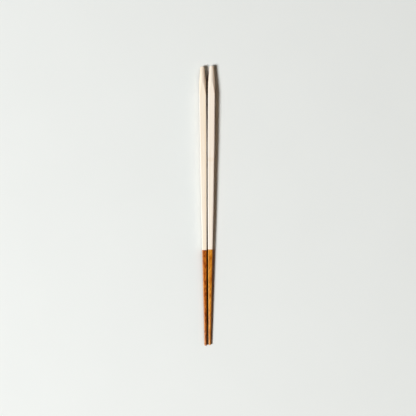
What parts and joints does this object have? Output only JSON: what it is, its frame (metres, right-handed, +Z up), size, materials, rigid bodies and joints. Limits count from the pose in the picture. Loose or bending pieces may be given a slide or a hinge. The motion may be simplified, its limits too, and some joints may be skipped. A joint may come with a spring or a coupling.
{
  "type": "pair of bamboo chopsticks",
  "caption": "Square tapering bamboo chopsticks lying side by side, with blunt conical butts, pale bare handles and brown lacquered tips, for picking up food.",
  "frame": {"origin": "on the table, under the middle of the pair", "axes": "+Y along the sticks toward the butts, +Z up off the table, +X from the left stick to the right one"},
  "size_m": [0.013, 0.2305, 0.0061],
  "materials": {
    "bamboo": "sanded bamboo, bare along the handle, with brown wiped lacquer on the last third at the tip"
  },
  "bodies": {
    "root": {"chopstick_left": "bamboo", "chopstick_right": "bamboo"}
  },
  "joints": []
}
